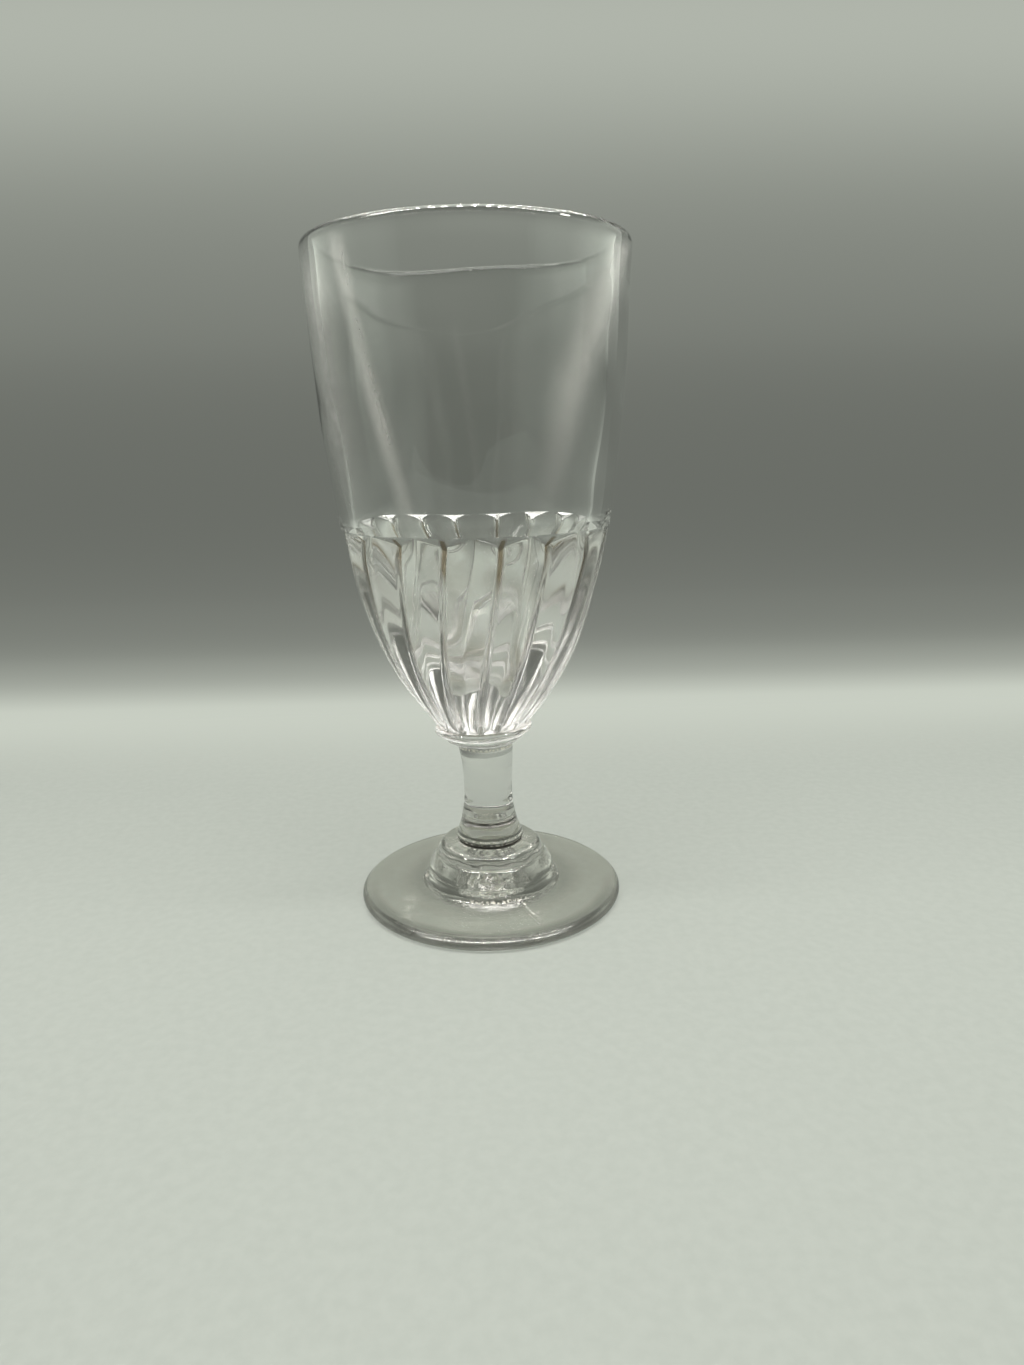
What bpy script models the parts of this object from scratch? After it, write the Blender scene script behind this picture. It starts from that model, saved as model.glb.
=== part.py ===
"""Stemmed absinthe glass: foot, knop, stem, collar and fluted bowl, each a separate solid.

Metres, +Z up. The origin is the middle of the flat underside of the foot, and +Z is the glass's axis.
"""

import math

import bmesh
import bpy

MM = 0.001
GAP = 0.3 * MM  # clearance kept at each hot joint

# Heights of the joints, from the floor up
FOOT_TOP_Z = 14.6 * MM
KNOP_TOP_Z = 21.6 * MM
STEM_TOP_Z = 41.9 * MM
COLLAR_TOP_Z = 46.5 * MM
RIM_Z = 160.0 * MM

# Foot: a thin disc under a dome in two tiers
FOOT_R = 34.3 * MM
FOOT_EDGE_ROUND = 1.25 * MM
DISC_EDGE_Z = 2.75 * MM
DISC_INNER_Z = 3.7 * MM
DOME_FILLET_R = 1.9 * MM
LOWER_TIER_R = 16.5 * MM
LOWER_TIER_Z = 11.15 * MM
LOWER_TIER_ROUND = 2.9 * MM
UPPER_TIER_R = 13.75 * MM
UPPER_TIER_ROUND = 2.6 * MM
UPPER_TIER_RISE = 0.2 * MM

# Knop and stem
KNOP_LOWER_R = 8.68 * MM
KNOP_UPPER_R = 7.0 * MM
KNOP_EDGE_ROUND = 0.9 * MM
STEM_LOWER_R = 6.95 * MM
STEM_WAIST_R = 6.28 * MM
STEM_WAIST_Z = 28.5 * MM
STEM_UPPER_R = 7.35 * MM

# Collar: two beads, the upper one wider, with a groove between them
LOWER_BEAD_R = 9.98 * MM
LOWER_BEAD_ROUND = 0.9 * MM
UPPER_BEAD_R = 12.45 * MM
UPPER_BEAD_ROUND = 1.0 * MM
BEAD_NECK = (10.4 * MM, 44.1 * MM)

# Bowl: the outside follows one cubic curve, the cavity two that meet at a knee level with the flutes' shoulder;
# each curve is given by its ends and its two handles (radius, height)
BOWL_FOOT_R = 11.6 * MM
BOWL_HANDLE_LOW = (29.0 * MM, 67.5 * MM)
BOWL_HANDLE_HIGH = (34.85 * MM, 89.9 * MM)
RIM_R = 37.6 * MM
WALL_AT_RIM = 3.6 * MM
CAVITY_BOTTOM_Z = 59.1 * MM
CAVITY_FLOOR_HANDLE_R = 9.0 * MM
CAVITY_CONE_HANDLE = (20.0 * MM, 81.4 * MM)
CAVITY_KNEE = (27.3 * MM, 97.0 * MM)
CAVITY_WALL_HANDLE_LOW = (30.0 * MM, 112.0 * MM)
CAVITY_WALL_HANDLE_HIGH = (33.0 * MM, 138.0 * MM)

# Flutes: rounded panels parted by narrow sunk channels that swirl, each channel opening into a sloped spandrel
# under the shoulder line
FLUTES = 16
FLUTE_TOP_Z = 96.8 * MM
FLUTE_PHASE = math.radians(10.0)
FLUTE_TWIST = math.radians(15.0)
FLUTE_TWIST_POWER = 1.4
PANEL_DEPTH = 1.5 * MM  # how far a panel's edges lie under its middle
PANEL_POWER = 1.6
CHANNEL_DEPTH = 0.5 * MM
CHANNEL_START = 0.86  # share of the half panel where the channel begins
SHOULDER_BOOST = 0.8
SHOULDER_RUN = 7.0 * MM
SPANDREL_SLOPE = 1.1
BASE_FADE = 2.5 * MM
TAPER_POWER = 0.3
TAPER_R = 33.0 * MM

COLUMNS_PER_FLUTE = 8
BOWL_STEPS = COLUMNS_PER_FLUTE * FLUTES
ROUND_STEPS = 64
STEM_STEPS = 48

GLASS_COLOUR = (0.93, 0.96, 0.945, 1.0)


def glass_material(name, roughness):
    material = bpy.data.materials.new(name)
    material.use_nodes = True
    shader = material.node_tree.nodes["Principled BSDF"]
    shader.inputs["Base Color"].default_value = GLASS_COLOUR
    shader.inputs["Roughness"].default_value = roughness
    shader.inputs["Metallic"].default_value = 0.0
    shader.inputs["IOR"].default_value = 1.52
    shader.inputs["Transmission Weight"].default_value = 1.0
    return material


def arc(centre_r, centre_z, radius, start_deg, end_deg, count):
    """Points of a circular fillet or round, as (radius, height), both ends included."""
    points = []
    for i in range(count + 1):
        a = math.radians(start_deg + (end_deg - start_deg) * i / count)
        points.append((centre_r + radius * math.cos(a), centre_z + radius * math.sin(a)))
    return points


def smoothstep(low, high, x):
    t = min(1.0, max(0.0, (x - low) / (high - low)))
    return t * t * (3.0 - 2.0 * t)


def cubic(p0, p1, p2, p3, t):
    s = 1.0 - t
    return tuple(
        s**3 * a + 3 * s * s * t * b + 3 * s * t * t * c + t**3 * d
        for a, b, c, d in zip(p0, p1, p2, p3)
    )


def height_to_radius(curve, z):
    """Radius of a rising profile curve at a height, by bisection on its parameter."""
    low, high = 0.0, 1.0
    for _ in range(50):
        mid = 0.5 * (low + high)
        if curve(mid)[1] < z:
            low = mid
        else:
            high = mid
    return curve(0.5 * (low + high))[0]


LIP_R = 0.5 * WALL_AT_RIM
LIP_Z = RIM_Z - LIP_R


def bowl_outside(t):
    return cubic((BOWL_FOOT_R, COLLAR_TOP_Z + GAP), BOWL_HANDLE_LOW, BOWL_HANDLE_HIGH, (RIM_R, LIP_Z), t)


def bowl_cavity(t):
    """Cavity outline, t from 0 at the middle of its floor to 1 at the knee and 2 under the lip."""
    if t <= 1.0:
        floor = (0.0, CAVITY_BOTTOM_Z)
        return cubic(floor, (CAVITY_FLOOR_HANDLE_R, CAVITY_BOTTOM_Z), CAVITY_CONE_HANDLE, CAVITY_KNEE, t)
    under_lip = (RIM_R - WALL_AT_RIM, LIP_Z)
    return cubic(CAVITY_KNEE, CAVITY_WALL_HANDLE_LOW, CAVITY_WALL_HANDLE_HIGH, under_lip, t - 1.0)


def turned(name, profile, steps, base_z, material, parent, reshape=None):
    """A solid of revolution from an outline that starts and ends on the axis, with its origin at base_z."""
    mesh = bpy.data.meshes.new(name)
    bm = bmesh.new()
    verts = [bm.verts.new((r, 0.0, z - base_z)) for r, z in profile]
    edges = [bm.edges.new((a, b)) for a, b in zip(verts, verts[1:])]
    bmesh.ops.spin(
        bm,
        geom=verts + edges,
        cent=(0.0, 0.0, 0.0),
        axis=(0.0, 0.0, 1.0),
        angle=2.0 * math.pi,
        steps=steps,
        use_merge=True,
    )
    bmesh.ops.remove_doubles(bm, verts=bm.verts[:], dist=1e-6)
    if reshape:
        for vert in bm.verts:
            reshape(vert, base_z)
    bmesh.ops.recalc_face_normals(bm, faces=bm.faces[:])
    bm.to_mesh(mesh)
    bm.free()
    mesh.shade_smooth()
    mesh.set_sharp_from_angle(angle=math.radians(40.0))
    mesh.materials.append(material)
    obj = bpy.data.objects.new(name, mesh)
    obj.location = (0.0, 0.0, base_z)
    obj.parent = parent
    bpy.context.scene.collection.objects.link(obj)
    return obj


def foot_profile():
    points = [(0.0, 0.0)]
    edge_r = FOOT_R - FOOT_EDGE_ROUND
    points += arc(edge_r, FOOT_EDGE_ROUND, FOOT_EDGE_ROUND, -90, 60, 5)
    top_r = edge_r + FOOT_EDGE_ROUND * math.cos(math.radians(60))
    fillet_r = LOWER_TIER_R + DOME_FILLET_R
    for i in range(1, 4):
        t = i / 4
        points.append((top_r + (fillet_r - top_r) * t, DISC_EDGE_Z + (DISC_INNER_Z - DISC_EDGE_Z) * t * t))
    points += arc(fillet_r, DISC_INNER_Z + DOME_FILLET_R, DOME_FILLET_R, 270, 190, 3)
    points += arc(LOWER_TIER_R - LOWER_TIER_ROUND, LOWER_TIER_Z - LOWER_TIER_ROUND, LOWER_TIER_ROUND, 8, 75, 4)
    points.append((UPPER_TIER_R + 0.1 * MM, LOWER_TIER_Z + 0.1 * MM))
    shoulder_z = FOOT_TOP_Z - UPPER_TIER_RISE
    points += arc(UPPER_TIER_R - UPPER_TIER_ROUND, shoulder_z - UPPER_TIER_ROUND, UPPER_TIER_ROUND, 5, 80, 4)
    points.append((KNOP_LOWER_R, FOOT_TOP_Z))
    points.append((0.0, FOOT_TOP_Z))
    return points


def knop_profile():
    low, high = FOOT_TOP_Z + GAP, KNOP_TOP_Z
    points = [(0.0, low)]
    points += arc(KNOP_LOWER_R - KNOP_EDGE_ROUND, low + KNOP_EDGE_ROUND, KNOP_EDGE_ROUND, -90, 15, 3)
    start_r, start_z = points[-1]
    for i in range(1, 4):
        t = i / 3
        points.append((start_r + (KNOP_UPPER_R - start_r) * t, start_z + (high - start_z) * t))
    points.append((0.0, high))
    return points


def stem_profile():
    low, high = KNOP_TOP_Z + GAP, STEM_TOP_Z
    points = [(0.0, low)]
    rows = 8
    for i in range(rows + 1):
        z = low + (high - low) * i / rows
        if z < STEM_WAIST_Z:
            share = (STEM_WAIST_Z - z) / (STEM_WAIST_Z - low)
            r = STEM_WAIST_R + (STEM_LOWER_R - STEM_WAIST_R) * share**2
        else:
            share = (z - STEM_WAIST_Z) / (high - STEM_WAIST_Z)
            r = STEM_WAIST_R + (STEM_UPPER_R - STEM_WAIST_R) * share**2.2
        points.append((r, z))
    points.append((0.0, high))
    return points


def collar_profile():
    low, high = STEM_TOP_Z + GAP, COLLAR_TOP_Z
    points = [(0.0, low)]
    points += arc(LOWER_BEAD_R - LOWER_BEAD_ROUND, low + LOWER_BEAD_ROUND, LOWER_BEAD_ROUND, -90, 50, 5)
    points.append(BEAD_NECK)
    points += arc(UPPER_BEAD_R - UPPER_BEAD_ROUND, high - UPPER_BEAD_ROUND, UPPER_BEAD_ROUND, -90, 90, 6)
    points.append((0.0, high))
    return points


def bowl_heights():
    """Heights of the outside rings: close together at the shoulder line, wide apart on the smooth wall."""
    low = COLLAR_TOP_Z + GAP
    shoulder = FLUTE_TOP_Z - 5.0 * MM
    heights = [low + (shoulder - low) * (i / 13) ** 1.2 for i in range(13)]
    heights += [shoulder + (FLUTE_TOP_Z - shoulder) * i / 7 for i in range(8)]
    heights += [FLUTE_TOP_Z + (LIP_Z - FLUTE_TOP_Z) * i / 5 for i in range(1, 5)]
    return heights


def bowl_profile():
    points = [(0.0, COLLAR_TOP_Z + GAP)]
    points += [(height_to_radius(bowl_outside, z), z) for z in bowl_heights()]
    points += arc(RIM_R - LIP_R, LIP_Z, LIP_R, 0, 180, 6)
    points += [bowl_cavity(2.0 - i / 4) for i in range(1, 4)]
    points += [bowl_cavity(1.0 - i / 8) for i in range(9)]
    return points


def swirl(z):
    """Turn of the flutes at a height: none above the shoulder line, then further and further down to the base."""
    drop = max(0.0, FLUTE_TOP_Z - z) / (FLUTE_TOP_Z - COLLAR_TOP_Z)
    return FLUTE_PHASE - FLUTE_TWIST * drop**FLUTE_TWIST_POWER


def flute_depth(across, z, radius):
    """How far the fluted surface lies under the plain turned one; across is 0 mid-panel, -1 and 1 on the channels."""
    below = max(0.0, FLUTE_TOP_Z - z)
    share = (radius / TAPER_R) ** TAPER_POWER * (1.0 + SHOULDER_BOOST * smoothstep(SHOULDER_RUN, 0.0, below))
    panel = PANEL_DEPTH * abs(across) ** PANEL_POWER
    channel = CHANNEL_DEPTH * smoothstep(CHANNEL_START, 1.0, abs(across))
    cut = min((panel + channel) * share, SPANDREL_SLOPE * below)
    return cut * smoothstep(0.0, BASE_FADE, z - COLLAR_TOP_Z - GAP)


def flute(vert, base_z):
    """Turns a vertex of the bowl so that the mesh columns follow the flutes, and sinks those of the outside."""
    x, y, z = vert.co.x, vert.co.y, vert.co.z + base_z
    radius = math.hypot(x, y)
    if radius < 1e-6:
        return
    pitch = 2.0 * math.pi / FLUTES
    place = math.atan2(x, -y) / pitch
    panel = math.floor(place)
    across = math.sin(0.5 * math.pi * (2.0 * (place - panel) - 1.0))  # columns gather at the channels
    turn = FLUTE_PHASE
    if abs(radius - height_to_radius(bowl_outside, z)) < 0.05 * MM and z < LIP_Z - 0.05 * MM:
        turn = swirl(z)
        radius -= flute_depth(across, z, radius)
    angle = (panel + 0.5 * (across + 1.0)) * pitch + turn
    vert.co.x, vert.co.y = radius * math.sin(angle), -radius * math.cos(angle)


def main():
    for obj in list(bpy.data.objects):
        bpy.data.objects.remove(obj, do_unlink=True)
    root = bpy.data.objects.new("glass_axis", None)
    bpy.context.scene.collection.objects.link(root)
    turned("foot", foot_profile(), ROUND_STEPS, 0.0, glass_material("foot_glass", 0.04), root)
    turned("foot_knop", knop_profile(), STEM_STEPS, FOOT_TOP_Z + GAP, glass_material("knop_glass", 0.03), root)
    turned("stem", stem_profile(), STEM_STEPS, KNOP_TOP_Z + GAP, glass_material("stem_glass", 0.03), root)
    turned("collar", collar_profile(), ROUND_STEPS, STEM_TOP_Z + GAP, glass_material("collar_glass", 0.04), root)
    turned("bowl", bowl_profile(), BOWL_STEPS, COLLAR_TOP_Z + GAP, glass_material("bowl_glass", 0.02), root, flute)


main()
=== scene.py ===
"""Looks for the stemmed absinthe glass: fluted bowl, collar, stem, knop and foot in clear glass, in a pale light tent."""

import math  # noqa: E402

import bpy  # noqa: E402
import numpy as np  # noqa: E402
from mathutils import Matrix, Vector  # noqa: E402


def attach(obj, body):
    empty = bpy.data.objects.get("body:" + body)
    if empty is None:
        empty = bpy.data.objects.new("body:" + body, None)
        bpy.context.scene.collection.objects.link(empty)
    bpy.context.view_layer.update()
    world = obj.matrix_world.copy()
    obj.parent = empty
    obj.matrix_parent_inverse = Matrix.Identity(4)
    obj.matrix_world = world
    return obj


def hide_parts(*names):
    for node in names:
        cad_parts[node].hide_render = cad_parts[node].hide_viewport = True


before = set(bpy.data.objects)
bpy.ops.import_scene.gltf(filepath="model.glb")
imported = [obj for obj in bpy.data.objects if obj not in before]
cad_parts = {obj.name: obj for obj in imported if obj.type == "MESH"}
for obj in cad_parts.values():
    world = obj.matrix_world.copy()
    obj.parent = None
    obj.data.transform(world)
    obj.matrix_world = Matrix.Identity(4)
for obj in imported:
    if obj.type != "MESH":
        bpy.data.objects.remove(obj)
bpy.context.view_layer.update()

MM = 0.001
IOR = 1.52

# Heights of the fused joints and of the rim, in millimetres like every length below
JOINT_FOOT = 14.75
JOINT_KNOP = 21.75
JOINT_STEM = 42.05
JOINT_BOWL = 46.65
RIM = 160.0
JOINT_GAP = 0.01

# Bowl: outside and cavity curves as (radius, height) handles
OUTER = ((11.6, 46.65), (29.0, 67.5), (34.85, 89.9), (37.6, 158.2))
CAVITY = [(33.9, 158.2), (33.35, 146.0), (32.4, 134.0), (31.2, 121.0), (29.4, 107.0), (27.6, 97.0), (23.4, 88.0), (18.6, 79.0), (13.8, 71.0), (9.8, 66.0), (6.4, 62.2), (3.4, 60.2), (0.0, 59.4)]
CAVITY_SHIFT = -0.3

# Flutes: broad panels parted by sunk channels that swirl, each opening into a sloped spandrel under the shoulder line
FLUTES = 16
FLUTE_TOP = 96.8
FLUTE_PHASE = math.radians(10.0)
FLUTE_TWIST = math.radians(15.0)
FLUTE_TWIST_POWER = 1.4
CHANNEL_HALF = 0.05
CHANNEL_EDGE = 0.03
CHANNEL_WIDEN = 0.06
CHANNEL_DEPTH = 0.5
LOBE_DEPTH = 1.5
LOBE_POWER = 1.6
SHARE_POWER = 0.3
SPANDREL_SLOPE = 1.1
TOP_BOOST = 0.8
TOP_RUN = 7.0
JITTER_SEED = 4
JITTER_TURN = 0.07
JITTER_LOBE = 0.28
JITTER_CHANNEL = 0.35
WAVE_OUT = 0.08
WAVE_IN = 0.16
# Whitened streaks in the bowl, partly a dried whitish layer and partly painted reflections of the side lights, as rows
# of (height, degrees, half width, strength)
FILM_AND_REFLECTION_STREAKS = (
    ((159.0, -46.0, 2.2, 0.0), (154.0, -44.5, 2.2, 0.7), (140.0, -40.0, 2.0, 0.6), (122.0, -33.5, 2.6, 0.75), (104.0, -27.0, 2.2, 0.45), (98.0, -25.0, 2.2, 0.0)),
    ((160.0, 72.0, 6.0, 0.45), (150.0, 58.0, 7.0, 0.5), (142.0, 50.0, 7.5, 0.55), (128.0, 38.5, 7.0, 0.55), (115.0, 34.0, 6.0, 0.3), (104.0, 30.0, 6.0, 0.12), (98.0, 29.0, 5.0, 0.0)),
    ((158.0, -64.0, 11.0, 0.0), (150.0, -63.0, 11.0, 0.34), (120.0, -59.0, 11.0, 0.28), (100.0, -55.0, 10.0, 0.0)),
    ((142.0, -4.0, 1.2, 0.0), (136.0, -3.2, 1.2, 0.07), (120.0, 0.0, 1.2, 0.04), (108.0, 2.4, 1.2, 0.08), (100.0, 3.5, 1.0, 0.0)),
)
STREAK_LEVEL = 0.5
STREAK_OUTSIDE = 0.7
DIRT_HALF = 0.1
DIRT_LOW = 0.6
# Strength of the whole darkening layer on the bowl: the deposit in the channels and the painted shade over the flutes
DIRT_AND_SHADE_LEVEL = 1.1

WELL_DIRT = 0.8
# Painted shade: a brownish darkening laid over the whole fluted wall below the shoulder
FLUTE_SHADE = 0.22
SMEAR = 0.35
# Brownish colour of the deposit in the channels, also used for the painted shade over the flutes and for the collar's
# crease lines
GRIME_AND_SHADE = (0.2, 0.145, 0.085)
# Near-black colour of the painted shade on the stem, knop and foot
SHADE_BLACK = (0.006, 0.005, 0.004)

# Tints of the thicker pieces, and the chill marks and whitened specks on the lower ones: painted highlights and
# sparkles, with a few wear nicks on the foot
SPECKS = (0.5, 0.6, 0.0)
WHITENING_LEVEL = 0.9
STEM_TINT = (0.84, 0.835, 0.83)
KNOP_TINT = (0.72, 0.71, 0.68)
FOOT_TINT = (0.94, 0.925, 0.885)
FLECK_SCALE = 900.0
FLECK_FOOT = 0.0004
FLECK_COLLAR = 0.00005
FRONT_MARKS = 0.35
SCAR_REACH = 6.5
SCAR_ROUGH = 0.35
SCAR_RISE = 3.2
SCAR_FILM = 0.1
DISC_SHADE = (0.3, 0.5)
SEAM_TURN = math.radians(25.0)
SEAM_HEIGHT = 0.14
# Painted highlights: strength of the whitening along the collar's bead crests
COLLAR_HIGHLIGHT = 0.3
# Painted shade: strength of a dark band round the top of the stem, under the collar
STEM_SHADE = 0.5
# Painted shade: strength of the dark in the groove between knop and foot
GROOVE_SHADE = 1.0


# ---------------------------------------------------------------- shape helpers
def smoothstep(low, high, x):
    t = np.clip((np.asarray(x, float) - low) / (high - low), 0.0, 1.0)
    return t * t * (3.0 - 2.0 * t)


def cubic(handles, t):
    s = 1.0 - t
    (a, b, c, d) = (np.array(h, float) for h in handles)
    return (
        np.outer(s**3, a) + np.outer(3 * s * s * t, b) + np.outer(3 * s * t * t, c) + np.outer(t**3, d)
    )


_t = np.linspace(0.0, 1.0, 4001)
_outer = cubic(OUTER, _t)


def outer_radius(z):
    return np.interp(z, _outer[:, 1], _outer[:, 0])


def arc(centre_r, centre_z, radius, start, end, count=14):
    a = np.radians(np.linspace(start, end, count + 1))
    return np.column_stack([centre_r + radius * np.cos(a), centre_z + radius * np.sin(a)])


def curve(points, spacing=0.25):
    """A smooth Catmull-Rom line through (radius, height) points."""
    p = np.array(points, float)
    p = np.vstack([2 * p[0] - p[1], p, 2 * p[-1] - p[-2]])
    out = []
    for i in range(1, len(p) - 2):
        n = max(2, int(np.hypot(*(p[i + 1] - p[i])) / spacing))
        t = np.arange(n)[:, None] / n
        m0, m1 = 0.5 * (p[i + 1] - p[i - 1]), 0.5 * (p[i + 2] - p[i])
        out.append(
            (2 * t**3 - 3 * t**2 + 1) * p[i]
            + (t**3 - 2 * t**2 + t) * m0
            + (-2 * t**3 + 3 * t**2) * p[i + 1]
            + (t**3 - t**2) * m1
        )
    out.append(p[-2][None])
    return np.vstack(out)


def join(*runs):
    """One outline from several runs, without repeated points."""
    rows = np.vstack([np.atleast_2d(np.array(r, float)) for r in runs])
    keep = np.concatenate([[True], np.hypot(*np.diff(rows, axis=0).T) > 1e-4])
    return rows[keep]


def ripple(a, z, seed, waves):
    """Low smooth unevenness of hand-finished glass: a few long waves round and along the piece."""
    rng = np.random.default_rng(seed)
    total = np.zeros(np.broadcast(a, z).shape)
    for _ in range(waves):
        turns = rng.integers(0, 7)
        pitch = rng.uniform(14.0, 45.0)
        total = total + rng.normal() * np.sin(turns * a + 2 * math.pi * z / pitch + rng.uniform(0, 2 * math.pi))
    return total / math.sqrt(waves)


def broken(x, y):
    """Jagged little facets of snapped glass over a plane, between -1 and 1."""
    rng = np.random.default_rng(17)
    total = np.zeros(np.shape(x))
    for _ in range(14):
        turn, pitch = rng.uniform(0, 2 * math.pi), rng.uniform(1.1, 3.4)
        phase = (x * math.cos(turn) + y * math.sin(turn)) / pitch + rng.uniform(0, 1)
        total = total + (np.abs(2 * (phase - np.floor(phase)) - 1) - 0.5) * pitch / 3.4
    return total / 3.0


RIM_NOD = 0.9
AXIS_Z = (0.0, 14.0, 22.0, 36.0, 44.0, 56.0, 75.0, 97.0, 160.0)
AXIS_X = (0.0, 0.0, -0.25, -0.3, -1.0, -1.4, -1.7, -1.8, -2.2)


def warp(points):
    """The glass stands a little crooked: the bowl was joined off-centre and the collar tilts."""
    x, y, z = points[..., 0], points[..., 1], points[..., 2]
    shift = np.interp(z, AXIS_Z, AXIS_X)
    tilt = math.tan(math.radians(2.2)) * np.exp(-(((z - 44.6) / 4.0) ** 2))
    lean = math.tan(math.radians(0.3)) * smoothstep(97.0, 160.0, z)
    nod = math.tan(math.radians(RIM_NOD)) * smoothstep(110.0, 160.0, z)
    return np.stack([x + shift, y, z + (tilt + lean) * x - nod * y], axis=-1)


def rings_of(profile, segments, reshape=None):
    """Rings of points round the axis from an outline. The angle is 0 at the front and grows to the right."""
    a = np.linspace(0.0, 2 * math.pi, segments, endpoint=False)[None, :]
    r, z = profile[:, 0:1] + 0 * a, profile[:, 1:2] + 0 * a
    if reshape:
        r, z = reshape(r, z, a + 0 * r)
    return np.stack([r * np.sin(a), -r * np.cos(a), z], axis=-1)


def piece(name, rings, materials, fused_rows=(), layers=None):
    """A closed smooth mesh from rings whose first and last are points on the axis. Faces of fused_rows take material 1."""
    rows, segments = rings.shape[:2]
    points = warp(rings[1:-1]).reshape(-1, 3)
    ends = warp(rings[[0, -1], 0])
    verts = np.vstack([points, ends]) * MM
    first, last = len(points), len(points) + 1
    faces, slots = [], []
    j = np.arange(segments)
    k = (j + 1) % segments
    for i in range(rows - 1):
        slot = 1 if i in fused_rows else 0
        if i == 0:
            quads = np.column_stack([np.full(segments, first), j, k])
        elif i == rows - 2:
            base = (rows - 3) * segments
            quads = np.column_stack([base + j, np.full(segments, last), base + k])
        else:
            low, high = (i - 1) * segments, i * segments
            quads = np.column_stack([low + j, high + j, high + k, low + k])
        faces += quads.tolist()
        slots += [slot] * segments
    mesh = bpy.data.meshes.new(name)
    mesh.from_pydata(verts.tolist(), [], faces)
    for material in materials:
        mesh.materials.append(material)
    mesh.polygons.foreach_set("material_index", slots)
    mesh.update()
    volume = 0.0
    tri = np.array([verts[f[:3]] for f in faces])
    volume += np.einsum("ij,ij->i", tri[:, 0], np.cross(tri[:, 1], tri[:, 2])).sum()
    if volume < 0:
        mesh.flip_normals()
    for key, values in (layers or {}).items():
        layer = mesh.attributes.new(key, "FLOAT", "POINT")
        layer.data.foreach_set("value", np.concatenate([values[1:-1].ravel(), [0.0, 0.0]]).astype(np.float32))
    mesh.shade_smooth()
    mesh.set_sharp_from_angle(angle=math.radians(55.0))
    obj = bpy.data.objects.new(name, mesh)
    bpy.context.scene.collection.objects.link(obj)
    return obj


# ---------------------------------------------------------------- materials
def nodes_of(material):
    material.use_nodes = True
    tree = material.node_tree
    tree.nodes.clear()
    return tree, tree.nodes, tree.links


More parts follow.
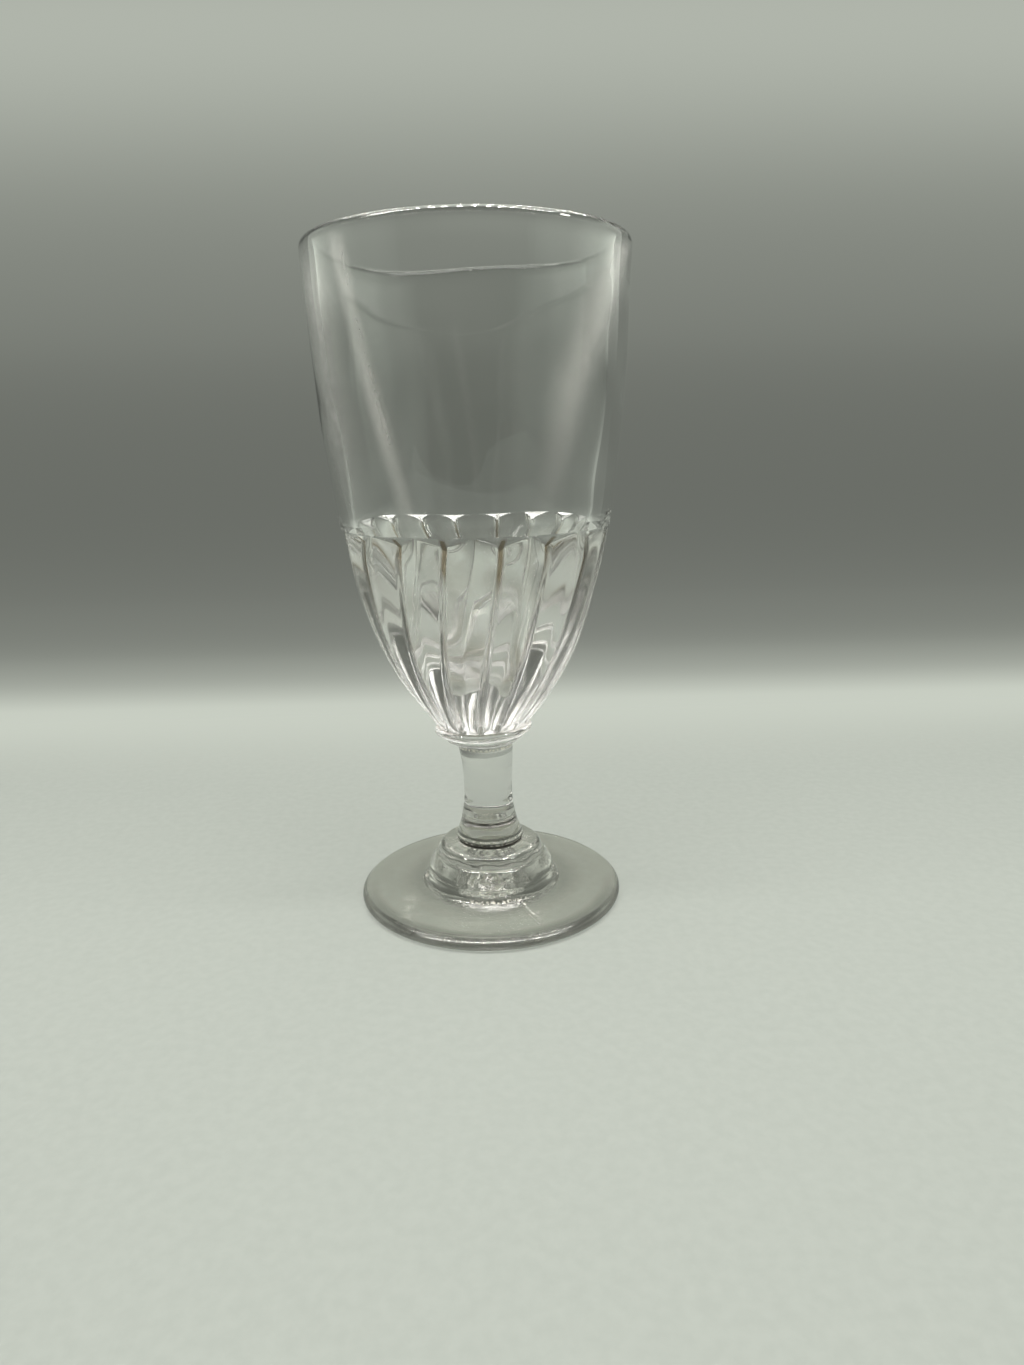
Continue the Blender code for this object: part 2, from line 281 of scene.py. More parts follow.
def glass(name, ripple_scale, ripple_height, smear, seed, tint=(1.0, 1.0, 1.0), fleck=0.0, stain_and_shade=None, darkening_scale=1.0, whitening=0.0, specks=(0.3, 0.7, 0.6)):
    """Clear pressed glass: a faint green-grey, long soft surface waves and slight smears.

    Mesh layers place the rest: "fleck" chill marks of that height, "dirt_and_shade" brown deposit and painted shade in
    the given colour, and "highlights_film_and_wear" a whitening (a dried whitish layer, painted highlights and glints,
    wear nicks) whose grain runs from specks[2] to 1 between two noise values.
    """
    material = bpy.data.materials.new(name)
    tree, nodes, links = nodes_of(material)
    out = nodes.new("ShaderNodeOutputMaterial")
    shader = nodes.new("ShaderNodeBsdfPrincipled")
    shader.inputs["Metallic"].default_value = 0.0
    shader.inputs["IOR"].default_value = IOR
    shader.inputs["Transmission Weight"].default_value = 1.0
    links.new(shader.outputs["BSDF"], out.inputs["Surface"])
    place = nodes.new("ShaderNodeTexCoord")
    shift = nodes.new("ShaderNodeMapping")
    shift.inputs["Location"].default_value = (seed * 0.013, seed * 0.029, seed * 0.007)
    links.new(place.outputs["Object"], shift.inputs["Vector"])

    wave = nodes.new("ShaderNodeTexNoise")
    wave.inputs["Scale"].default_value = ripple_scale
    wave.inputs["Detail"].default_value = 1.5
    links.new(shift.outputs["Vector"], wave.inputs["Vector"])
    bump = nodes.new("ShaderNodeBump")
    bump.inputs["Strength"].default_value = 1.0
    bump.inputs["Distance"].default_value = ripple_height
    height = wave.outputs["Fac"]
    if fleck:
        marks = nodes.new("ShaderNodeTexNoise")
        marks.inputs["Scale"].default_value = FLECK_SCALE
        marks.inputs["Detail"].default_value = 2.0
        links.new(shift.outputs["Vector"], marks.inputs["Vector"])
        where = nodes.new("ShaderNodeAttribute")
        where.attribute_name = "fleck"
        marked = nodes.new("ShaderNodeMath")
        marked.operation = "MULTIPLY"
        links.new(where.outputs["Fac"], marked.inputs[0])
        links.new(marks.outputs["Fac"], marked.inputs[1])
        total = nodes.new("ShaderNodeMath")
        total.operation = "MULTIPLY_ADD"
        total.inputs[1].default_value = fleck / ripple_height
        links.new(marked.outputs["Value"], total.inputs[0])
        links.new(height, total.inputs[2])
        height = total.outputs["Value"]
    links.new(height, bump.inputs["Height"])
    links.new(bump.outputs["Normal"], shader.inputs["Normal"])

    cloud = nodes.new("ShaderNodeTexNoise")
    cloud.inputs["Scale"].default_value = 55.0
    cloud.inputs["Detail"].default_value = 5.0
    cloud.inputs["Distortion"].default_value = 0.6
    links.new(shift.outputs["Vector"], cloud.inputs["Vector"])
    rough = nodes.new("ShaderNodeMapRange")
    rough.inputs["From Min"].default_value = 0.5
    rough.inputs["From Max"].default_value = 0.8
    rough.inputs["To Min"].default_value = 0.0
    rough.inputs["To Max"].default_value = smear
    links.new(cloud.outputs["Fac"], rough.inputs["Value"])
    roughness = rough.outputs["Result"]

    hue = nodes.new("ShaderNodeValToRGB")
    hue.color_ramp.elements[0].position = 0.3
    hue.color_ramp.elements[0].color = (0.965 * tint[0], 0.978 * tint[1], 0.968 * tint[2], 1.0)
    hue.color_ramp.elements[1].position = 0.7
    hue.color_ramp.elements[1].color = (0.985 * tint[0], 0.99 * tint[1], 0.983 * tint[2], 1.0)
    links.new(cloud.outputs["Fac"], hue.inputs["Fac"])
    colour = hue.outputs["Color"]
    # Darkening: brown deposit in the bowl's channels; painted shade over the flutes and on the stem, knop and foot
    if stain_and_shade:
        layer = nodes.new("ShaderNodeAttribute")
        layer.attribute_name = "dirt_and_shade"
        laid = nodes.new("ShaderNodeMath")
        laid.operation = "MULTIPLY"
        laid.inputs[1].default_value = darkening_scale
        laid.use_clamp = True
        links.new(layer.outputs["Fac"], laid.inputs[0])
        darkened = nodes.new("ShaderNodeMix")
        darkened.data_type = "RGBA"
        darkened.inputs[7].default_value = (*stain_and_shade, 1.0)
        links.new(laid.outputs["Value"], darkened.inputs[0])
        links.new(colour, darkened.inputs[6])
        colour = darkened.outputs[2]
        dull = nodes.new("ShaderNodeMath")
        dull.operation = "MULTIPLY_ADD"
        dull.inputs[1].default_value = 0.3
        links.new(layer.outputs["Fac"], dull.inputs[0])
        links.new(roughness, dull.inputs[2])
        roughness = dull.outputs["Value"]
    # Whitening: a dried whitish layer and painted reflections on the bowl; painted highlights and glints on the other
    # pieces, with a few wear nicks on the foot
    if whitening:
        whitening_layer = nodes.new("ShaderNodeAttribute")
        whitening_layer.attribute_name = "highlights_film_and_wear"
        whitening_grain = nodes.new("ShaderNodeTexNoise")
        whitening_grain.inputs["Scale"].default_value = 420.0 if specks[2] else 1.6 * FLECK_SCALE
        whitening_grain.inputs["Detail"].default_value = 5.0 if specks[2] else 2.0
        links.new(shift.outputs["Vector"], whitening_grain.inputs["Vector"])
        grainy = nodes.new("ShaderNodeMapRange")
        grainy.inputs["From Min"].default_value = specks[0]
        grainy.inputs["From Max"].default_value = specks[1]
        grainy.inputs["To Min"].default_value = specks[2] * whitening
        grainy.inputs["To Max"].default_value = whitening
        links.new(whitening_grain.outputs["Fac"], grainy.inputs["Value"])
        amount = nodes.new("ShaderNodeMath")
        amount.operation = "MULTIPLY"
        links.new(whitening_layer.outputs["Fac"], amount.inputs[0])
        links.new(grainy.outputs["Result"], amount.inputs[1])
        amount.use_clamp = True
        clear = nodes.new("ShaderNodeMath")
        clear.operation = "SUBTRACT"
        clear.inputs[0].default_value = 1.0
        links.new(amount.outputs["Value"], clear.inputs[1])
        links.new(clear.outputs["Value"], shader.inputs["Transmission Weight"])
        whiten = nodes.new("ShaderNodeMix")
        whiten.data_type = "RGBA"
        whiten.inputs[7].default_value = (0.96, 0.93, 0.85, 1.0)
        links.new(amount.outputs["Value"], whiten.inputs[0])
        links.new(colour, whiten.inputs[6])
        colour = whiten.outputs[2]
    links.new(roughness, shader.inputs["Roughness"])
    links.new(colour, shader.inputs["Base Color"])
    return material


def fused_joint():
    """Where two gathers were fused hot there is no surface left to see."""
    material = bpy.data.materials.new("fused_joint")
    tree, nodes, links = nodes_of(material)
    out = nodes.new("ShaderNodeOutputMaterial")
    shader = nodes.new("ShaderNodeBsdfPrincipled")
    shader.inputs["Alpha"].default_value = 0.0
    links.new(shader.outputs["BSDF"], out.inputs["Surface"])
    return material


FUSED = fused_joint()


# ---------------------------------------------------------------- the glass
def swirl(z):
    """How far the flutes have turned from their place at the shoulder."""
    drop = np.clip((FLUTE_TOP - z) / (FLUTE_TOP - JOINT_BOWL), 0.0, 1.0)
    return FLUTE_PHASE - FLUTE_TWIST * drop**FLUTE_TWIST_POWER


def flute_columns():
    """Places of the mesh columns across one flute, 0 and 1 on the channels' centres, close together at the channels' edges."""
    half = np.array([0.0, 0.015, 0.025, 0.035, 0.045, 0.055, 0.065, 0.08, 0.105, 0.14, 0.19, 0.25, 0.32, 0.4, 0.46, 0.5])
    return np.concatenate([half, 1 - half[-2:0:-1]])


def flute_depth(r, z, u, lobe_share, channel_share):
    """How far the fluted surface lies under the plain turned one. u runs 0 to 1 from channel to channel."""
    from_channel = np.minimum(u, 1 - u)
    below = np.clip(FLUTE_TOP - z, 0, None)
    share = (r / 33.0) ** SHARE_POWER * (1 + TOP_BOOST * smoothstep(TOP_RUN, 0.0, below))
    half = CHANNEL_HALF + CHANNEL_WIDEN * smoothstep(74.0, 52.0, z)
    channel = CHANNEL_DEPTH * smoothstep(half + CHANNEL_EDGE, half - CHANNEL_EDGE, from_channel)
    lobe = LOBE_DEPTH * (1 - 2 * from_channel) ** LOBE_POWER
    cut = np.minimum((channel * channel_share + lobe * lobe_share) * share, SPANDREL_SLOPE * below)
    return cut * smoothstep(JOINT_BOWL, JOINT_BOWL + 2.5, z)


def jitter(rng, amount, columns):
    """One uneven value per channel, carried evenly across the flutes between them."""
    value = amount * rng.uniform(-1.0, 1.0, FLUTES)
    return (value[:, None] * (1 - columns) + np.roll(value, -1)[:, None] * columns).reshape(1, -1)


def film_and_reflection_streaks(a, z):
    """Whitened streaks inside the bowl, partly a dried whitish layer and partly painted reflections of the side lights:
    soft streaks as (height, degrees, half width, strength) from the rim down.
    """
    total = np.zeros(a.shape)
    for streak in FILM_AND_REFLECTION_STREAKS:
        height, place, width, strength = (np.array(v, float) for v in zip(*streak[::-1]))
        at = np.interp(z, height, place)
        off = (a - at + 180.0) % 360.0 - 180.0
        amount = np.interp(z, height, strength, left=0.0, right=0.0)
        total = np.maximum(total, amount * np.exp(-((off / np.interp(z, height, width)) ** 2)))
    return total


def make_bowl():
    columns = flute_columns()
    rng = np.random.default_rng(JITTER_SEED)
    u = np.tile(columns, FLUTES)[None, :]
    count = (np.repeat(np.arange(FLUTES), len(columns)) + np.tile(columns, FLUTES))[None, :]
    base = 2 * math.pi * (count + jitter(rng, JITTER_TURN, columns)) / FLUTES
    lobe_share = 1 + jitter(rng, JITTER_LOBE, columns)
    channel_share = 1 + jitter(rng, JITTER_CHANNEL, columns)
    heights = np.concatenate(
        [
            np.arange(JOINT_BOWL, 93.0, 0.75),
            np.arange(93.0, 98.0, 0.2),
            np.arange(98.0, 158.2, 2.8),
        ]
    )
    heights[0] = JOINT_BOWL + JOINT_GAP
    outside = np.column_stack([outer_radius(heights), heights])
    lip_out, lip_in = OUTER[3][0], CAVITY[0][0]
    lip_mid, lip_z = 0.5 * (lip_out + lip_in), OUTER[3][1]
    half = 0.5 * (lip_out - lip_in)
    flat = [(1.0, 0.0), (0.95, 0.4), (0.82, 0.72), (0.62, 0.93), (0.3, 0.995), (0.0, 1.0)]
    flat += [(-x, y) for x, y in flat[-2::-1]]
    lip = curve([(lip_mid + x * half, lip_z + y * (RIM - lip_z)) for x, y in flat], 0.25)
    inside = curve(CAVITY, 1.8)
    profile = join([(0.0, JOINT_BOWL + JOINT_GAP)], outside, lip, inside)
    n_out = 1 + len(outside)
    n_lip = n_out + len(lip)
    r, z = profile[:, 0:1] + 0 * base, profile[:, 1:2] + 0 * base
    turn = np.full_like(r, FLUTE_PHASE)
    turn[1:n_out] = swirl(z[1:n_out])
    a = base + turn
    wall = slice(1, n_out)
    fade = smoothstep(JOINT_BOWL, JOINT_BOWL + 6.0, z[wall])
    r[wall] += WAVE_OUT * fade * ripple(a[wall], z[wall], 3, 9) - flute_depth(r[wall], z[wall], u, lobe_share, channel_share)
    well = slice(n_lip, len(profile) - 1)
    r[well] += WAVE_IN * (0.35 + 0.65 * smoothstep(106.0, 96.0, z[well])) * smoothstep(0.0, 14.0, r[well]) * ripple(a[well], z[well], 8, 9)
    rings = np.stack([r * np.sin(a), -r * np.cos(a), z], axis=-1)
    inner = np.zeros(len(profile))
    inner[n_lip:] = 1.0
    inner[n_out:n_lip] = np.linspace(0.0, 1.0, n_lip - n_out)
    rings[..., 0] += CAVITY_SHIFT * inner[:, None]
    dirt_and_shade = np.zeros(r.shape)
    below = np.clip(FLUTE_TOP + 0.4 - z[wall], 0, None)
    near = smoothstep(DIRT_HALF, 0.2 * DIRT_HALF, np.minimum(u, 1 - u) + 0 * below)
    patchy = 0.7 + 0.5 * ripple(a[wall] * 3.0, z[wall], 21, 9)
    dirt_and_shade[wall] = near * np.clip(patchy, 0.1, 1.0) * smoothstep(0.2, 1.2, below) * (DIRT_LOW + (1 - DIRT_LOW) * smoothstep(30.0, 2.0, below))
    dirt_and_shade[well] = WELL_DIRT * smoothstep(69.0, 61.0, z[well]) * np.clip(0.75 + 0.4 * ripple(a[well] * 2.0, z[well] * 3.0, 23, 9), 0.15, 1.0)
    # Painted shade: a brownish darkening over the whole fluted wall below the shoulder, on top of the channel deposit
    dirt_and_shade[wall] = np.maximum(dirt_and_shade[wall], FLUTE_SHADE * np.clip(1 + 0.35 * ripple(a[wall] * 2.0, z[wall] * 1.5, 25, 9), 0.3, 2.0) * smoothstep(0.0, 1.2, below))
    smear = smoothstep(0.4, 1.0, ripple(a[wall] * 5.0, z[wall] * 1.3, 51, 9)) * smoothstep(0.5, 3.0, below)
    dirt_and_shade[wall] = np.maximum(dirt_and_shade[wall], SMEAR * smear)
    # Whitened streaks: a dried whitish layer and painted reflections of the side lights, inside and, weaker, outside
    # above the flutes
    highlights_film_and_wear = np.zeros(r.shape)
    highlights_film_and_wear[well] = film_and_reflection_streaks(np.degrees(a[well]), z[well])
    highlights_film_and_wear[wall] = STREAK_OUTSIDE * film_and_reflection_streaks(np.degrees(a[wall]), z[wall]) * smoothstep(FLUTE_TOP, FLUTE_TOP + 2.0, z[wall])
    return piece(
        "bowl_glass", rings, [glass("bowl_glass", 60.0, 0.00006, 0.05, 1, stain_and_shade=GRIME_AND_SHADE, darkening_scale=DIRT_AND_SHADE_LEVEL, whitening=STREAK_LEVEL), FUSED], fused_rows=(0,), layers={"dirt_and_shade": dirt_and_shade, "highlights_film_and_wear": highlights_film_and_wear}
    )


def make_collar():
    low, high = JOINT_STEM + JOINT_GAP, JOINT_BOWL - JOINT_GAP
    profile = join(
        [(0.0, low), (7.35, low)],
        curve([(7.35, low), (8.5, low + 0.08), (9.5, 42.45), (9.98, 43.05), (9.9, 43.65), (9.6, 43.95)], 0.12),
        curve([(9.6, 43.95), (10.5, 44.1), (11.7, 44.4), (12.35, 45.0), (12.45, 45.6), (12.15, 46.2), (11.75, 46.45)], 0.12),
        curve([(11.75, 46.45), (11.6, 46.5), (11.5, high)], 0.1),
        [(0.0, high)],
    )

    def uneven(r, z, a):
        return r + 0.06 * smoothstep(7.6, 9.5, r) * ripple(a * 2.0, z * 4.0, 31, 9), z

    rings = rings_of(profile, 320, uneven)
    marks = smoothstep(8.0, 9.5, np.hypot(rings[..., 0], rings[..., 1]))
    z = rings[..., 2]
    # Painted highlights: whitened bands along the two bead crests
    whitened = marks * COLLAR_HIGHLIGHT * (np.exp(-(((z - 45.4) / 0.4) ** 2)) + np.exp(-(((z - 43.1) / 0.35) ** 2)))
    # Darker lines along the crease between the two beads and along the joint with the bowl
    crease_dark = marks * (np.exp(-(((z - 44.05) / 0.12) ** 2)) + 0.8 * np.exp(-(((z - 46.45) / 0.12) ** 2)))
    return piece(
        "collar_glass",
        rings,
        [glass("collar_glass", 90.0, 0.00004, 0.05, 2, fleck=FLECK_COLLAR, stain_and_shade=GRIME_AND_SHADE, whitening=WHITENING_LEVEL, specks=(0.4, 0.55, 0.0)), FUSED],
        fused_rows=(0, len(profile) - 2),
        layers={"fleck": marks, "highlights_film_and_wear": whitened, "dirt_and_shade": crease_dark},
    )


def make_stem():
    low, high = JOINT_KNOP + JOINT_GAP, JOINT_STEM - JOINT_GAP
    profile = join(
        [(0.0, low)],
        curve([(6.7, low), (6.95, 22.0), (6.85, 22.8), (6.6, 24.0), (6.43, 25.5), (6.28, 28.5), (6.38, 32.0), (6.55, 35.0), (6.82, 38.0), (7.1, 40.3), (7.35, high)], 0.2),
        [(0.0, high)],
    )

    def uneven(r, z, a):
        return r + 0.03 * smoothstep(low, low + 3.0, z) * smoothstep(high, high - 2.0, z) * smoothstep(3.0, 6.0, r) * ripple(a, z * 2.0, 33, 9), z

    rings = rings_of(profile, 240, uneven)
    z = rings[..., 2]
    a = np.arctan2(rings[..., 0], -rings[..., 1])
    wall = smoothstep(3.0, 6.0, np.hypot(rings[..., 0], rings[..., 1]))
    # Painted shade: a dark band round the stem just under the collar, tilted a little round the stem
    shade_band = wall * STEM_SHADE * smoothstep(38.75, 38.95, z - 0.35 * np.sin(a)) * smoothstep(40.3, 40.1, z)
    # Painted highlights: a white band at the collar joint and two white glints at the knop joint, left and right of the
    # front
    joint_glints = wall * (smoothstep(40.25, 40.45, z) * smoothstep(41.5, 41.2, z) + smoothstep(22.1, 21.85, z) * (np.exp(-(((a - 0.7) / 0.3) ** 2)) + np.exp(-(((a + 0.7) / 0.3) ** 2))))
    return piece(
        "stem_glass",
        rings,
        [glass("stem_glass", 90.0, 0.00004, 0.03, 3, tint=STEM_TINT, stain_and_shade=SHADE_BLACK, whitening=WHITENING_LEVEL, specks=(0.3, 0.55, 0.0)), FUSED],
        fused_rows=(0, len(profile) - 2),
        layers={"dirt_and_shade": shade_band, "highlights_film_and_wear": joint_glints},
    )


def make_knop():
    low, high = JOINT_FOOT + JOINT_GAP, JOINT_KNOP - JOINT_GAP
    profile = join(
        [(0.0, low), (7.2, low)],
        curve([(7.2, low), (8.1, 14.95), (8.6, 15.35), (8.68, 15.9), (8.3, 17.2), (7.6, 19.2), (7.25, 20.5), (7.1, 21.2), (6.7, high)], 0.12),
        [(0.0, high)],
    )

    def uneven(r, z, a):
        return r + 0.04 * smoothstep(6.8, 7.6, r) * ripple(a, z * 3.0, 35, 9), z

    rings = rings_of(profile, 240, uneven)
    z = rings[..., 2]
    wall = smoothstep(6.6, 7.4, np.hypot(rings[..., 0], rings[..., 1]))
    # Painted shade: dark bands under the knop's bulge and just above it
    painted_shade = wall * GROOVE_SHADE * (smoothstep(16.15, 15.9, z) + 0.9 * np.exp(-(((z - 17.0) / 0.35) ** 4)))
    # Painted highlights: two thin white lines round the knop's bulge
    bead_glints = wall * (np.exp(-(((z - 16.4) / 0.16) ** 2)) + np.exp(-(((z - 15.55) / 0.12) ** 2)))
    return piece(
        "knop_glass",
        rings,
        [glass("knop_glass", 90.0, 0.00004, 0.03, 4, tint=KNOP_TINT, stain_and_shade=SHADE_BLACK, whitening=WHITENING_LEVEL, specks=(0.48, 0.56, 0.0)), FUSED],
        fused_rows=(0, len(profile) - 2),
        layers={"dirt_and_shade": painted_shade, "highlights_film_and_wear": bead_glints},
    )


def make_foot():
    top = JOINT_FOOT - JOINT_GAP
    profile = join(
        [(0.0, SCAR_RISE)],
        curve([(0.3, SCAR_RISE), (0.45 * SCAR_REACH, 0.8 * SCAR_RISE), (0.85 * SCAR_REACH, 0.3 + 0.25 * SCAR_RISE), (SCAR_REACH, 0.3), (SCAR_REACH + 1.0, 0.26)], 0.3),
        curve([(SCAR_REACH + 1.0, 0.26), (14.0, 0.22), (24.0, 0.08), (30.0, 0.0), (32.9, 0.0)], 0.8),
        curve([(32.9, 0.0), (33.7, 0.2), (34.15, 0.7), (34.28, 1.2), (34.15, 1.75), (33.6, 2.3), (32.7, 2.75), (31.5, 2.95)], 0.2),
        curve([(31.5, 2.95), (30.0, 3.0), (25.0, 3.15), (20.8, 3.45), (18.9, 3.75)], 0.6),
        curve([(18.9, 3.75), (18.0, 4.0), (17.4, 4.7), (17.0, 5.7), (16.75, 6.5), (16.5, 6.85)], 0.2),
        curve([(16.5, 6.85), (16.45, 7.3), (16.2, 8.2), (15.6, 9.3), (14.9, 10.3), (14.35, 10.9), (13.8, 11.15)], 0.2),
        curve([(13.8, 11.15), (13.75, 11.7), (13.5, 12.6), (12.95, 13.5), (12.0, 14.2), (10.6, 14.5), (8.8, 14.55), (7.6, 14.62), (7.2, top)], 0.2),
        [(0.0, top)],
    )

    def uneven(r, z, a):
        inside_scar = (np.arange(len(r)) < 80)[:, None] * smoothstep(SCAR_RISE + 0.2, SCAR_RISE, z)
        on_top = smoothstep(2.4, 2.9, z) * (np.arange(len(r)) >= 80)[:, None]
        disc = on_top * smoothstep(19.0, 21.0, r)
        dome = on_top * smoothstep(8.5, 10.0, r) * smoothstep(20.0, 18.0, r)
        seam = np.exp(-(((a - SEAM_TURN + math.pi) % (2 * math.pi) - math.pi) * r / 0.35) ** 2)
        seam *= SEAM_HEIGHT * smoothstep(18.5, 19.5, r) * smoothstep(29.5, 27.0, r) * (0.6 + 0.4 * np.sin(r * 5.0))
        z = z + disc * (0.035 * ripple(a, r * 1.6, 41, 11) + seam)
        z = z + SCAR_ROUGH * inside_scar * smoothstep(SCAR_REACH + 0.3, SCAR_REACH - 1.0, r) * broken(r * np.sin(a), -r * np.cos(a))
        return r + 0.08 * dome * ripple(a * 2.0, z * 3.0, 43, 11), z

    rings = rings_of(profile, 400, uneven)
    r, z = np.hypot(rings[..., 0], rings[..., 1]), rings[..., 2]
    a = np.arctan2(rings[..., 0], -rings[..., 1])
    front = np.exp(-(((a - 0.05) / 0.42) ** 4)) * smoothstep(4.0, 4.6, z) * smoothstep(9.6, 8.6, z)
    marks = FRONT_MARKS * front + 0.12 * smoothstep(2.9, 3.2, z) * smoothstep(8.0, 9.0, r)
    # Painted highlights: sparkles along the dome's foot at the front, two side highlights up the dome, a glint along
    # the mould seam and a thin white circle near the top of the dome
    whitened = 0.8 * np.exp(-(((a - 0.05) / 0.5) ** 4)) * smoothstep(3.9, 4.1, z) * smoothstep(4.9, 4.5, z)
    for turn in (-1.45, 1.5):
        whitened = np.maximum(whitened, np.exp(-(((a - turn) / 0.12) ** 2)) * smoothstep(3.9, 4.4, z) * smoothstep(7.2, 6.4, z))
    whitened = np.maximum(whitened, 0.9 * np.exp(-(((a - SEAM_TURN) * r / 0.3) ** 2)) * smoothstep(18.0, 19.0, r) * smoothstep(29.0, 27.0, r))
    whitened = np.maximum(whitened, 0.7 * smoothstep(14.45, 14.55, z) * smoothstep(9.3, 8.9, r) * smoothstep(8.3, 8.6, r))
    # Nicks from wear on the disc, roughened and whitened
    for turn, reach, size, strength in ((-60.0, 24.0, 1.8, 0.35), (-52.0, 27.0, 1.4, 0.4), (-44.0, 28.5, 1.6, 0.3), (28.0, 24.5, 0.8, 0.5), (-20.0, 26.0, 2.4, 0.12)):
        centre = reach * np.array([math.sin(math.radians(turn)), -math.cos(math.radians(turn))])
        away = np.hypot(rings[..., 0] - centre[0], rings[..., 1] - centre[1])
        spot = strength * np.exp(-((away / size) ** 2)) * smoothstep(2.4, 2.8, z)
        marks, whitened = np.maximum(marks, spot), np.maximum(whitened, spot)
    # Painted shade: dark in the groove under the knop, a dark band on the disc round the dome, a darker front of the
    # underside edge, and a dark outer rim
    painted_shade = GROOVE_SHADE * smoothstep(14.4, 14.55, z) * smoothstep(8.7, 8.3, r) * smoothstep(6.9, 7.2, r)
    painted_shade = np.maximum(painted_shade, DISC_SHADE[0] * smoothstep(2.2, 2.8, z) * smoothstep(26.0, 19.0, r) * smoothstep(16.0, 17.5, r))
    painted_shade = np.maximum(painted_shade, DISC_SHADE[1] * smoothstep(0.1, 0.4, z) * smoothstep(29.0, 31.5, r) * smoothstep(-0.1, 0.6, np.cos(a)))
    painted_shade = np.maximum(painted_shade, 0.6 * smoothstep(33.2, 33.9, r))
    scar = smoothstep(0.5, 1.0, z) * smoothstep(SCAR_REACH + 0.5, SCAR_REACH - 0.5, r) * (z < 8.0)
    marks, whitened = marks * (1.0 - scar), np.maximum(whitened * (1.0 - scar), SCAR_FILM * scar)
    return piece(
        "foot_glass",
        rings,
        [glass("foot_glass", 70.0, 0.00005, 0.06, 5, tint=FOOT_TINT, fleck=FLECK_FOOT, stain_and_shade=SHADE_BLACK, whitening=WHITENING_LEVEL, specks=SPECKS), FUSED],
        fused_rows=(len(profile) - 2,),
        layers={"fleck": marks, "dirt_and_shade": painted_shade, "highlights_film_and_wear": whitened},
    )


for make, node, slot in (
    (make_foot, "foot", "foot_glass"),
    (make_knop, "foot_knop", "knop_glass"),
    (make_stem, "stem", "stem_glass"),
    (make_collar, "collar", "collar_glass"),
    (make_bowl, "bowl", "bowl_glass"),
):
    made = make()
    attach(made, "root")
    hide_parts(node)


# ---------------------------------------------------------------- light tent
CARD_TINT = (0.94, 1.0, 0.88)
WARM = (1.0, 0.97, 0.9)


def level_ramp(nodes, links, value, low, high, stops, tint=CARD_TINT):
    """A smooth brightness ramp over a value, as (value, level) stops."""
    span = nodes.new("ShaderNodeMapRange")
    span.inputs["From Min"].default_value = low
    span.inputs["From Max"].default_value = high
    links.new(value, span.inputs["Value"])
    ramp = nodes.new("ShaderNodeValToRGB")
    ramp.color_ramp.interpolation = "CARDINAL"
    elements = ramp.color_ramp.elements
    while len(elements) < len(stops):
        elements.new(0.5)
    for element, (at, level) in zip(elements, stops):
        element.position = (at - low) / (high - low)
        element.color = (level * tint[0], level * tint[1], level * tint[2], 1.0)
    links.new(span.outputs["Result"], ramp.inputs["Fac"])
    return ramp.outputs["Color"]


def position(nodes, links):
    place = nodes.new("ShaderNodeNewGeometry")
    split = nodes.new("ShaderNodeSeparateXYZ")
    links.new(place.outputs["Position"], split.inputs["Vector"])
    return place, split


def emitter(name, axis, low, high, stops, tint=CARD_TINT, strength=1.0, fade=None):
    """A softly glowing card whose brightness follows one axis, or two with fade as (axis, low, high, stops)."""
    material = bpy.data.materials.new(name)
    tree, nodes, links = nodes_of(material)
    out = nodes.new("ShaderNodeOutputMaterial")
    glow = nodes.new("ShaderNodeEmission")
    glow.inputs["Strength"].default_value = strength
    links.new(glow.outputs["Emission"], out.inputs["Surface"])
    _, split = position(nodes, links)
    colour = level_ramp(nodes, links, split.outputs[axis], low, high, stops, tint)
    if fade:
        axis, low, high, stops = fade
        times = nodes.new("ShaderNodeVectorMath")
        times.operation = "MULTIPLY"
        links.new(colour, times.inputs[0])
        links.new(level_ramp(nodes, links, split.outputs[axis], low, high, stops, (1.0, 1.0, 1.0)), times.inputs[1])
        colour = times.outputs["Vector"]
    links.new(colour, glow.inputs["Color"])
    return material


def staged(name, verts, faces, material, smooth=False):
    mesh = bpy.data.meshes.new(name)
    mesh.from_pydata(verts, [], faces)
    mesh.materials.append(material)
    if smooth:
        mesh.shade_smooth()
    obj = bpy.data.objects.new(name, mesh)
    bpy.context.scene.collection.objects.link(obj)
    return obj


def sheet(name, corners, material):
    return staged(name, corners, [tuple(range(len(corners)))], material)


W, BACK, FRONT, TOP, FLOOR, SWEEP = 0.34, 0.245, -0.36, 0.46, -0.0002, 0.05


FLOOR_SHADE = 0.13
FLOOR_GLOW = 0.335
FLOOR_TINT = (0.92, 1.0, 0.955)
# Levels of the painted light glowing on the back of the sweep, along it from the floor up
BACK_STOPS = [(-0.2, 0.56), (-0.06, 0.61), (-0.03, 0.43), (0.0, 0.265), (0.04, 0.185), (0.1, 0.157), (0.16, 0.2), (0.23, 0.3), (0.3, 0.46), (0.34, 0.25), (0.37, 0.25), (0.4, 1.0), (0.46, 1.0)]


